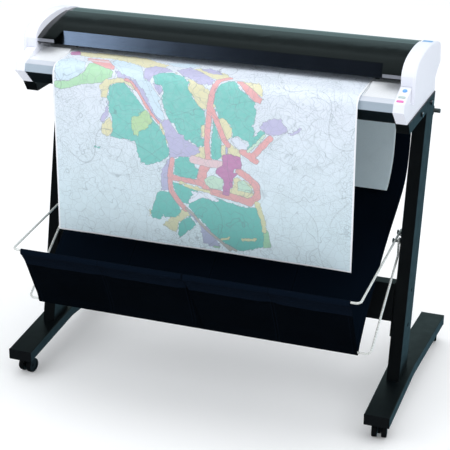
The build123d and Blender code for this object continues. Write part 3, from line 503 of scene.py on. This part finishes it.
# map print: zones drawn as outlines on the flat sheet, in mm, across and up from
# the lower left corner. Each layer is kept as a distance field on the sheet, so
# its borders stay crisp, and the material steps them along land parcels.
# (stroke half width or 0 for a filled outline, points)
LAYERS = [
    ("sky", [
        (0, [(6, 462),(3, 499),(27, 525),(79, 505),(93, 466),(75, 450),(46, 434),(12, 430)]),
        (0, [(145, 517),(147, 558),(195, 550),(238, 512),(263, 464),(306, 406),(325, 358),(310, 351),(291, 371),(257, 417),(233, 458),(203, 463),(181, 482)]),
        (0, [(264, 461),(279, 457),(314, 410),(306, 406)]),
        (0, [(290, 562),(357, 584),(387, 567),(362, 542),(315, 545)]),
    ]),
    ("lime", [
        (0, [(5, 428),(46, 433),(75, 448),(96, 466),(90, 500),(111, 506),(155, 482),(173, 472),(172, 456),(142, 437),(105, 431),(75, 425),(51, 414),(21, 408),(4, 412)]),
        (0, [(591, 87),(611, 84),(621, 38),(599, 31)]),
        (0, [(459, 24),(476, 21),(476, 10),(456, 12)]),
    ]),
    ("sand", [
        (0, [(26, 578),(106, 589),(216, 584),(275, 557),(301, 549),(295, 522),(254, 508),(202, 535),(141, 551),(66, 545),(37, 554)]),
        (0, [(139, 432),(158, 448),(198, 457),(221, 457),(237, 440),(245, 427),(234, 431),(211, 444),(187, 442),(167, 432),(161, 401),(141, 399)]),
        (0, [(139, 313),(153, 338),(165, 346),(174, 323),(172, 303),(155, 289),(140, 299)]),
        (0, [(305, 347),(313, 343),(324, 319),(331, 291),(324, 288),(316, 312)]),
        (0, [(330, 507),(375, 479),(412, 469),(449, 449),(466, 435),(469, 408),(450, 397),(427, 398),(416, 407),(402, 428),(387, 450),(391, 463),(361, 486)]),
        (0, [(424, 353),(435, 357),(437, 321),(424, 320)]),
        (0, [(403, 269),(421, 294),(438, 299),(437, 254),(412, 254)]),
        (0, [(364, 535),(392, 552),(436, 541),(475, 528),(490, 500),(462, 486),(436, 496),(402, 497)]),
        (0, [(472, 381),(494, 381),(499, 368),(511, 352),(507, 330),(494, 320),(477, 348)]),
        (0, [(478, 265),(480, 303),(494, 312),(507, 305),(505, 277)]),
        (0, [(312, 57),(333, 80),(362, 105),(379, 110),(391, 97),(368, 80),(356, 66),(353, 40),(338, 46)]),
        (0, [(275, 101),(282, 90),(279, 75),(274, 75)]),
        (0, [(530, 490),(572, 488),(590, 467),(593, 441),(568, 461),(543, 473)]),
        (0, [(474, 378),(494, 378),(513, 353),(507, 330),(496, 320),(483, 349)]),
        (0, [(480, 304),(505, 313),(535, 289),(529, 272),(502, 279),(483, 280)]),
        (0, [(513, 214),(527, 221),(566, 204),(570, 179),(557, 161),(510, 168),(503, 184),(513, 191)]),
    ]),
    ("lilac", [
        (0, [(322, 358),(336, 357),(359, 323),(376, 316),(392, 302),(418, 291),(418, 277),(392, 259),(363, 257),(335, 246),(330, 291),(321, 324),(313, 348)]),
        (0, [(329, 246),(339, 247),(334, 190),(329, 157),(312, 158),(307, 172),(310, 215)]),
        (0, [(249, 507),(268, 531),(305, 525),(330, 507),(304, 486),(285, 467),(279, 457),(264, 461)]),
        (0, [(291, 451),(314, 448),(321, 435),(309, 422),(300, 433)]),
        (0, [(337, 518),(359, 550),(404, 522),(453, 479),(455, 464),(419, 463),(387, 477),(359, 490)]),
        (0, [(174, 478),(227, 457),(219, 452),(192, 457)]),
        (0, [(132, 331),(151, 360),(159, 389),(162, 350),(147, 331)]),
        (0, [(379, 110),(391, 112),(417, 75),(437, 70),(448, 63),(465, 31),(482, 15),(448, 14),(428, 22),(422, 53),(419, 67),(402, 85)]),
        (0, [(221, 457),(239, 456),(263, 429),(291, 376),(313, 348),(306, 346),(268, 391),(240, 432)]),
        (0, [(584, 367),(598, 384),(609, 389),(625, 394),(641, 395),(649, 384),(660, 376),(663, 360),(641, 355),(617, 346),(598, 355)]),
        (3.8, [(663, 359),(679, 362),(692, 372)]),
        (3.9, [(496, 315),(495, 284)]),
        (0, [(395, 544),(413, 558),(446, 544),(461, 520),(427, 521)]),
    ]),
    ("teal", [
        (0, [(161, 401),(167, 432),(187, 442),(211, 444),(231, 425),(251, 400),(268, 374),(285, 359),(305, 339),(321, 307),(329, 285),(334, 258),(320, 245),(300, 236),(276, 225),(253, 227),(242, 257),(237, 288),(208, 287),(181, 290),(164, 293),(173, 312),(171, 346),(163, 362)]),
        (0, [(284, 470),(304, 486),(328, 498),(361, 486),(391, 464),(388, 448),(402, 428),(416, 407),(436, 393),(437, 357),(424, 353),(424, 320),(437, 318),(435, 299),(415, 293),(393, 307),(381, 306),(373, 322),(359, 324),(348, 347),(331, 364),(314, 407),(320, 435),(314, 448),(297, 451)]),
        (0, [(475, 471),(496, 485),(509, 485),(530, 463),(570, 433),(575, 409),(572, 382),(564, 367),(573, 357),(566, 340),(560, 320),(541, 328),(527, 335),(513, 331),(508, 357),(494, 375),(488, 380),(474, 378),(466, 402),(458, 423),(465, 451)]),
        (0, [(573, 343),(593, 360),(601, 352),(587, 329),(563, 301),(552, 299),(554, 314),(566, 332)]),
        (0, [(459, 368),(469, 347),(480, 310),(479, 265),(453, 265),(452, 317)]),
        (0, [(347, 248),(358, 255),(392, 261),(403, 250),(404, 233),(417, 229),(413, 203),(391, 197),(363, 202),(345, 209)]),
        (0, [(339, 184),(363, 182),(403, 170),(425, 168),(411, 160),(391, 146),(385, 122),(368, 131),(345, 163)]),
        (0, [(282, 108),(299, 150),(322, 156),(336, 153),(356, 124),(365, 105),(356, 87),(321, 79),(312, 86),(306, 71),(277, 75)]),
        (0, [(356, 43),(359, 67),(379, 84),(391, 92),(408, 68),(391, 54),(361, 27),(353, 34)]),
        (0, [(385, 119),(403, 142),(420, 150),(448, 157),(476, 152),(521, 142),(560, 142),(577, 144),(591, 118),(598, 91),(600, 34),(561, 20),(522, 12),(476, 33),(448, 60),(419, 87)]),
        (0, [(385, 122),(403, 145),(425, 154),(425, 94),(414, 86),(402, 99)]),
        (0, [(115, 256),(136, 261),(133, 251)]),
    ]),
    ("leaf", [
        (0, [(226, 355),(244, 354),(256, 372),(274, 377),(282, 359),(290, 348),(273, 329),(249, 315),(243, 303),(234, 305),(229, 324)]),
    ]),
    ("rose", [
        (3.8, [(213, 453),(229, 449),(248, 427),(268, 393),(288, 365),(305, 346)]),
        (0, [(67, 537),(129, 539),(165, 498),(175, 477),(149, 481),(103, 504)]),
        (7.8, [(490, 500),(469, 482),(457, 450),(450, 411),(444, 355),(440, 305),(443, 255)]),
        (12.8, [(443, 255),(429, 230),(423, 201),(437, 184)]),
        (7.6, [(334, 200),(357, 194),(391, 193),(431, 188)]),
        (7.0, [(342, 247),(336, 213),(334, 178),(339, 156),(362, 125),(379, 110)]),
        (7.3, [(450, 411),(466, 375),(488, 322),(499, 307)]),
        (0, [(512, 486),(527, 489),(562, 466),(592, 443),(587, 429),(570, 435),(542, 459)]),
        (8.2, [(614, 340),(593, 316),(566, 283),(541, 295)]),
        (8.3, [(538, 294),(576, 272)]),
        (9.5, [(529, 238),(554, 225),(577, 205),(581, 175),(563, 159)]),
        (9.7, [(448, 172),(488, 166),(532, 161),(560, 154)]),
    ]),
    ("pink", [
        (10.9, [(400, 255),(443, 249),(488, 251)]),
        (7.1, [(82, 524),(136, 523)]),
    ]),
    ("sandtop", [
        (4.1, [(363, 185),(403, 175),(445, 168)]),
        (6.1, [(580, 156),(588, 131),(598, 105),(602, 80)]),
        (0, [(534, 50),(578, 55),(576, 47),(536, 42)]),
        (0, [(474, 38),(502, 47),(499, 41),(476, 33)]),
    ]),
    ("mint", [
        (3.8, [(598, 346),(582, 325),(554, 297)]),
        (0, [(431, 203),(454, 217),(485, 210),(482, 181),(448, 179),(437, 189)]),
        (0, [(524, 209),(541, 215),(565, 195),(566, 182),(527, 185)]),
    ]),
    ("plum", [
        (0, [(483, 280),(507, 283),(532, 278),(538, 256),(535, 247),(513, 242),(513, 233),(529, 233),(513, 219),(511, 191),(503, 187),(502, 166),(483, 167),(487, 210),(464, 224),(465, 235),(483, 249)]),
        (0, [(-1, 569),(22, 586),(40, 554),(16, 547)]),
    ]),
    ("blank", [
        (0, [(385, 162),(414, 166),(442, 165),(471, 151),(468, 143),(448, 148),(425, 151),(408, 140),(391, 129),(385, 134),(403, 153)]),
        (0, [(505, 321),(524, 335),(549, 318),(552, 302),(535, 300),(521, 307)]),
    ]),
    ("road", [
        (3.5, [(379, 113),(402, 96),(419, 76),(442, 56),(476, 33),(505, 11)]),
        (3.4, [(493, 24),(522, 12)]),
    ]),
]

COLOURS = {"sky": (0.66, 0.81, 0.92), "lime": (0.47, 0.76, 0.50), "sand": (0.80, 0.77, 0.52), "lilac": (0.55, 0.54, 0.76),
           "teal": (0.23, 0.62, 0.57), "leaf": (0.50, 0.72, 0.42), "rose": (0.84, 0.45, 0.46), "pink": (0.84, 0.64, 0.68),
           "sandtop": (0.80, 0.78, 0.50), "mint": (0.62, 0.82, 0.68), "plum": (0.60, 0.28, 0.50), "blank": (0.74, 0.80, 0.90),
           "road": (0.58, 0.52, 0.50)}


def field(px, py, shapes):
    """Distance in mm to the nearest border of a layer, positive inside it."""
    best = np.full(px.shape, -1e3)
    for half, pts in shapes:
        q = np.array(pts, float)
        e0 = q if half == 0 else q[:-1]
        e1 = np.roll(q, -1, 0) if half == 0 else q[1:]
        d = np.full(px.shape, 1e9)
        odd = np.zeros(px.shape, bool)
        for (ax, ay), (bx, by) in zip(e0, e1):
            ex, ey = bx - ax, by - ay
            t = np.clip(((px - ax) * ex + (py - ay) * ey) / max(ex * ex + ey * ey, 1e-9), 0, 1)
            d = np.minimum(d, np.hypot(px - ax - t * ex, py - ay - t * ey))
            if half == 0 and abs(ey) > 1e-9:
                odd ^= ((ay > py) != (by > py)) & (px < ax + (py - ay) / ey * ex)
        best = np.maximum(best, np.where(odd, d, -d) if half == 0 else half - d)
    return np.clip(best, -60, 60)


gx, gy = np.meshgrid(np.linspace(0, SHEET_W * 1000, NX + 1), along)
FIELDS = {name_: field(gx, gy, shapes).ravel() for name_, shapes in LAYERS}

mt = Tree("map_print")
uvn = mt.n("ShaderNodeUVMap", uv_map="flat").outputs[0]
wob2 = mt.vmath("SUBTRACT", mt.noise_colour(7, 2, uvn), (0.5, 0.5, 0.5))
soft_uv = mt.vmath("ADD", uvn, mt.vmath("SCALE", wob2, 0.012))


def voronoi(scale, feature="F1", vec=None):
    x = mt.n("ShaderNodeTexVoronoi", feature=feature)
    mt.put(x.inputs["Vector"], vec or uvn)
    x.inputs["Scale"].default_value = scale
    return x.outputs


# parcels: each cell pushes the border in or out as a whole, so it runs in steps
push = mt.math("SUBTRACT", mt.xyz(voronoi(105)["Color"])[0], 0.5)
push = mt.math("ADD", mt.math("MULTIPLY", push, 5.0), mt.math("MULTIPLY", mt.math("SUBTRACT", mt.noise(150, 3, vec=uvn), 0.5), 7.0))
# painted shade: the paper is coloured darker towards the lower, hanging part of the sheet and lighter where it lies on
# the table
upper = mt.span(mt.xyz(uvn)[1], 0.10, 0.42)
paper = mt.mix(upper, (0.68, 0.82, 0.885), (0.80, 0.86, 0.955))
paper = mt.mix(mt.math("MULTIPLY", mt.span(mt.noise(24, 5, 0.65, uvn), 0.45, 0.7), 0.30), paper, (0.55, 0.65, 0.68))
# built-up land reads as a finer, greyer texture
town = mt.math("MULTIPLY", mt.span(mt.noise(4, 3, vec=uvn), 0.42, 0.58), mt.span(mt.noise(330, 3, 0.7, uvn), 0.48, 0.62))
paper = mt.mix(mt.math("MULTIPLY", town, 0.46), paper, (0.34, 0.42, 0.45))


def isolines(scale, count, width, detail=3.0):
    h = mt.math("MULTIPLY", mt.noise(scale, detail, 0.5, uvn), count)
    f = mt.math("ABSOLUTE", mt.math("SUBTRACT", mt.math("FRACT", h), 0.5))
    return mt.span(f, 0.0, width, 1.0, 0.0)


hills = mt.span(mt.noise(3.2, 2, vec=uvn), 0.44, 0.54)
paper = mt.mix(mt.math("MULTIPLY", mt.math("MULTIPLY", isolines(7, 30, 0.13), hills), 0.46), paper, (0.34, 0.42, 0.46))
# painted shade: the zone colours darken towards the bottom of the hanging sheet
lower = mt.span(mt.xyz(uvn)[1], 0.02, 0.34, 0.30, 0.0)
col, border = paper, None
for name_, shapes in LAYERS:
    at = mt.n("ShaderNodeAttribute", attribute_name="zone_" + name_).outputs["Fac"]
    if name_ not in ("road",):
        at = mt.math("ADD", at, push if name_ not in ("sky", "lime", "plum", "mint", "pink", "rose") else mt.math("MULTIPLY", push, 0.4))
    inside_ = mt.span(at, -0.15, 0.15)
    line_ = mt.span(mt.math("ABSOLUTE", at), 0.25, 0.85, 1.0, 0.0)
    col = mt.mix(inside_, col, COLOURS[name_] if name_ == "blank" else mt.mix(lower, COLOURS[name_], (0.02, 0.22, 0.23)))
    kept = mt.math("MULTIPLY", border, mt.math("SUBTRACT", 1.0, inside_)) if border is not None else 0.0
    border = mt.math("MAXIMUM", kept, line_)
# slight wash inside the zones, made stronger up the sheet as painted light, then thin contour, parcel and road lines
# over everything
wash = mt.math("MULTIPLY", mt.span(mt.noise(60, 5, 0.6, uvn), 0.4, 0.75), mt.span(upper, 0.0, 1.0, 0.03, 0.16))
col = mt.mix(wash, col, (0.80, 0.84, 0.90))
col = mt.mix(mt.math("MULTIPLY", border, 0.60), col, (0.20, 0.22, 0.25))
col = mt.mix(mt.math("MULTIPLY", isolines(5.5, 9, 0.022, 3), 0.46), col, (0.20, 0.26, 0.30))
col = mt.mix(mt.math("MULTIPLY", isolines(2.6, 5, 0.009, 1), 0.36), col, (0.16, 0.20, 0.24))
edge_ = voronoi(46, "DISTANCE_TO_EDGE", soft_uv)["Distance"]
col = mt.mix(mt.math("MULTIPLY", mt.span(edge_, 0.0, 0.040, 1.0, 0.0), 0.24), col, (0.24, 0.30, 0.34))
edge_ = voronoi(12, "DISTANCE_TO_EDGE", soft_uv)["Distance"]
col = mt.mix(mt.math("MULTIPLY", mt.span(edge_, 0.0, 0.010, 1.0, 0.0), 0.24), col, (0.22, 0.27, 0.30))
# unprinted margin
su = mt.xyz(uvn)
inside = mt.math("MULTIPLY", mt.span(su[0], 0.004, 0.0045), mt.span(su[0], 0.8365, 0.837, 1.0, 0.0))
inside = mt.math("MULTIPLY", inside, mt.span(su[1], 0.004, 0.0045))
col = mt.mix(inside, (0.90, 0.92, 0.96), col)
# the print is on one side only: the other side is plain and cool, the print shows through faintly
facing = mt.xyz(mt.n("ShaderNodeNewGeometry").outputs["Normal"])
hanging, tail_ = mt.span(su[1], 0.449, 0.451, 1.0, 0.0), mt.span(su[1], 0.719, 0.721)
flat_ = mt.math("SUBTRACT", mt.math("SUBTRACT", 1.0, hanging), tail_)
away = mt.math("SUBTRACT", mt.math("MULTIPLY", hanging, facing[1]), mt.math("MULTIPLY", tail_, facing[1]))
away = mt.math("SUBTRACT", away, mt.math("MULTIPLY", flat_, facing[2]))
plain = mt.mix(mt.math("MULTIPLY", mt.span(mt.noise(30, 4, 0.6, uvn), 0.4, 0.7), 0.25), (0.80, 0.94, 0.99), (0.72, 0.86, 0.92))
col = mt.mix(mt.span(away, 0.0, 0.03), col, mt.mix(0.10, plain, col))
fibre = mt.noise(1600, 3, vec=uvn)
map_mat = mt.done(col, mt.span(mt.noise(200, 3, vec=uvn), 0.3, 0.7, 0.55, 0.7), mt.bump(fibre, 0.08, 0.0001))

sheet = add("map_sheet", bm, "printed_paper", "stand", map_mat, 180)
shield(sheet)
for name_, values in FIELDS.items():
    at = sheet.data.attributes.new("zone_" + name_, "FLOAT", "POINT")
    at.data.foreach_set("value", values.astype(np.float32))
mod = sheet.modifiers.new("thickness", "SOLIDIFY")
mod.thickness, mod.offset = 0.0003, 0
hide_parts("document_sheet")

# ------------------------------------------------------------- cloth basket
CLOTH_W = 0.924
UPY, UPZ, LOY, LOZ, RY, RZ = -396.0, 437.0, -303.0, 250.0, 192.0, 766.0
CR, RR = 3.0 + 0.4 + 0.8, 6.0 + 0.4 + 0.8
cloth_line = (
    arc_points(RY, RZ, RR, -40, 180, 12)
    + smooth_line([(RY - RR - 0.3, 745), (181, 703), (171, 640), (152, 590), (120, 553),
                   (70, 522), (0, 483), (-75, 437), (-150, 385), (-230, 324), (-290, 262)], 14)
    + arc_points(LOY - 1.0, LOZ - 1.0, CR + 1.6, -60, -170, 8)
    + smooth_line([(-318, 275), (-345, 330), (-378, 400), (UPY - CR - 1.0, UPZ - 8)], 14)
    + arc_points(UPY, UPZ, CR, 180, 0, 10)
    + [(UPY + CR + 0.3, UPZ - 6), (UPY + CR + 3.5, UPZ - 16)]
)
crow, cs = resample(cloth_line, 4.0)
S = cs[-1]
top_s = S - 16 - math.pi * CR                     # where the front panel meets the upper wire
low_s = float(cs[np.argmin(crow[:, 1] + 0.001 * crow[:, 0])])   # lowest point, at the lower wire
SEAMS = (-0.233, 0.008, 0.245)
tang = np.gradient(crow, axis=0)
cn = np.stack([-tang[:, 1], tang[:, 0]], 1)
cn /= np.linalg.norm(cn, axis=1)[:, None]
NC = 300
bm = bmesh.new()
uvl = bm.loops.layers.uv.new("flat")
grid = []
for yz, s, n2 in zip(crow, cs, cn):
    line = []
    for i in range(NC + 1):
        u = i / NC
        x = (u - 0.5) * CLOTH_W
        w = 0.0
        if low_s + 12 < s < top_s:                     # front panel
            f = (s - low_s - 12) / (top_s - low_s - 12)
            belly = math.sin(math.pi * f)
            seam_pull = sum(math.exp(-((x - q) / 0.020) ** 2) for q in SEAMS)
            w += belly * (2.6 * noise.noise((x * 7, s * 0.006, 1.7)) + 1.2 * noise.noise((x * 19, s * 0.012, 4.1)))
            w -= belly * 4.6 * seam_pull
            # short gathers that hang from the wire and die out downwards
            w += 1.6 * max(0.0, (f - 0.55) / 0.45) * noise.noise((x * 75, s * 0.01, 9.3)) * min(1.0, (1 - f) * 12)
            # one sharp fold leans to the right as it falls from the wire
            d = x - (0.008 + 0.022 * (1 - f))
            w += 5.0 * belly ** 0.5 * (math.exp(-(max(d, 0.0) / 0.016) ** 2) if d > 0 else -math.exp(-(d / 0.007) ** 2))
            # slanted drag lines towards the corners
            for q in (-1, 1):
                d = (x * q - 0.40) + (1 - f) * 0.10
                w += belly * 1.3 * math.exp(-(d / 0.022) ** 2)
        elif 60 < s < low_s - 14:                      # back sheet
            f = (s - 60) / (low_s - 74)
            belly = math.sin(math.pi * f)
            w += belly * (5.0 * noise.noise((x * 3.2, s * 0.003, 2.2)) + 1.4 * noise.noise((x * 11, s * 0.01, 6.1)))
        px = x - math.copysign(1, x) * 0.0
        line.append(bm.verts.new((px, (yz[0] + n2[0] * w) * MM, (yz[1] + n2[1] * w) * MM)))
    grid.append(line)
for j in range(len(grid) - 1):
    for i in range(NC):
        f = bm.faces.new((grid[j][i], grid[j][i + 1], grid[j + 1][i + 1], grid[j + 1][i]))
        for loop, (a, b) in zip(f.loops, ((i, j), (i + 1, j), (i + 1, j + 1), (i, j + 1))):
            loop[uvl].uv = (a / NC * CLOTH_W, cs[b] * MM)

ct = Tree("woven_cloth")
cuv = ct.n("ShaderNodeUVMap", uv_map="flat").outputs[0]
cx, cv, _ = ct.xyz(cuv)
warp = ct.math("SINE", ct.math("MULTIPLY", cx, 2 * math.pi / 0.0011))
weft = ct.math("SINE", ct.math("MULTIPLY", cv, 2 * math.pi / 0.0011))
weave = ct.math("MULTIPLY", warp, weft)
slub = ct.noise(900, 3, vec=ct.vmath("MULTIPLY", cuv, (0.15, 1, 1)))
base = ct.mix(ct.span(weave, -1, 1), (0.0003, 0.0011, 0.0023), (0.0009, 0.0025, 0.0046))
base = ct.mix(ct.math("MULTIPLY", ct.span(slub, 0.45, 0.75), 0.30), base, (0.0018, 0.0042, 0.0080))
base = ct.mix(ct.math("MULTIPLY", ct.span(ct.noise(9, 4, vec=cuv), 0.4, 0.7), 0.35), base, (0.0014, 0.0034, 0.0066))
hem_v = top_s * MM
# the hem band under the wire is coloured a little lighter
hem = ct.math("MULTIPLY", ct.span(cv, hem_v - 0.0605, hem_v - 0.0595), 1.0)
base = ct.mix(ct.math("MULTIPLY", hem, 0.60), base, (0.0032, 0.0074, 0.0165))
height = ct.math("ADD", ct.math("MULTIPLY", weave, 0.25), ct.math("MULTIPLY", slub, 0.5))
height = ct.math("ADD", height, ct.math("MULTIPLY", hem, 1.6))
# painted light: the inside of the sling, which faces up, is coloured lighter and bluer
base = ct.mix(ct.math("MULTIPLY", ct.span(cv, (low_s - 20) * MM, low_s * MM, 1.0, 0.0), 0.55), base, (0.0028, 0.0074, 0.0155))
# stitch rows: hem, both side hems, and beside each seam
thread = 0.0


def dashes(coord, other, at):
    on = ct.math("LESS_THAN", ct.math("ABSOLUTE", ct.math("SUBTRACT", coord, at)), 0.00055)
    gap = ct.math("LESS_THAN", ct.math("FRACT", ct.math("MULTIPLY", other, 1 / 0.0042)), 0.68)
    return ct.math("MULTIPLY", on, gap)


rows_ = [dashes(cv, cx, hem_v - 0.0575), dashes(cv, cx, 0.040),
         dashes(cx, cv, 0.012), dashes(cx, cv, CLOTH_W - 0.012)]
seam_crease_and_shade = None
for q in SEAMS:
    at = q + CLOTH_W / 2
    rows_ += [dashes(cx, cv, at - 0.004), dashes(cx, cv, at + 0.004)]
    g = ct.span(ct.math("ABSOLUTE", ct.math("SUBTRACT", cx, at)), 0.0, 0.0012, 1.0, 0.0)
    seam_crease_and_shade = g if seam_crease_and_shade is None else ct.math("MAXIMUM", seam_crease_and_shade, g)
# the standing fold keeps its own shadow line, leaning with it
low_v = (low_s + 12) * MM
lean = ct.math("MULTIPLY", ct.span(cv, low_v, hem_v, 1.0, 0.0), 0.022)
d_fold = ct.math("SUBTRACT", ct.math("SUBTRACT", cx, 0.008 + CLOTH_W / 2), lean)
fold = ct.math("MULTIPLY", ct.span(ct.math("ABSOLUTE", d_fold), 0.0, 0.0045, 1.0, 0.0), ct.span(cv, low_v, low_v + 0.01))
thread = rows_[0]
for r_ in rows_[1:]:
    thread = ct.math("MAXIMUM", thread, r_)
# painted shade: the cloth is darkened along each seam crease
base = ct.mix(ct.math("MULTIPLY", seam_crease_and_shade, 0.85), base, (0.0004, 0.0008, 0.0016))
base = ct.mix(ct.math("MULTIPLY", fold, 0.75), base, (0.0003, 0.0006, 0.0012))
base = ct.mix(ct.math("MULTIPLY", thread, 0.55), base, (0.006, 0.011, 0.022))
height = ct.math("ADD", height, ct.math("MULTIPLY", thread, 1.2))
height = ct.math("SUBTRACT", height, ct.math("MULTIPLY", seam_crease_and_shade, 2.2))
cloth_mat = ct.done(base, ct.span(slub, 0.3, 0.7, 0.72, 0.88), ct.bump(height, 0.5, 0.0004))
ct.b.inputs["Sheen Weight"].default_value = 0.004
ct.b.inputs["Specular IOR Level"].default_value = 0.02
ct.b.inputs["Sheen Roughness"].default_value = 0.45
ct.b.inputs["Sheen Tint"].default_value = (0.45, 0.60, 0.95, 1)

cloth = add("cloth_basket", bm, "navy_cloth", "stand", cloth_mat, 180)
shield(cloth)
mod = cloth.modifiers.new("thickness", "SOLIDIFY")
mod.thickness, mod.offset = 0.0012, 0
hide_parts("basket_fabric")

# ------------------------------------------------------------------- floor
bm = bmesh.new()
bmesh.ops.create_grid(bm, x_segments=1, y_segments=1, size=14)
me = bpy.data.meshes.new("floor")
bm.to_mesh(me)
bm.free()
floor = bpy.data.objects.new("floor", me)
bpy.context.scene.collection.objects.link(floor)
ft = Tree("floor")
me.materials.append(ft.done(ft.mix(ft.noise(2), (0.955, 0.955, 0.955), (0.97, 0.97, 0.97)), 0.9, Specular_IOR_Level=0.0,
                         Emission_Strength=0.07))
ft.b.inputs["Emission Color"].default_value = (1, 1, 1, 1)
floor.visible_glossy = False
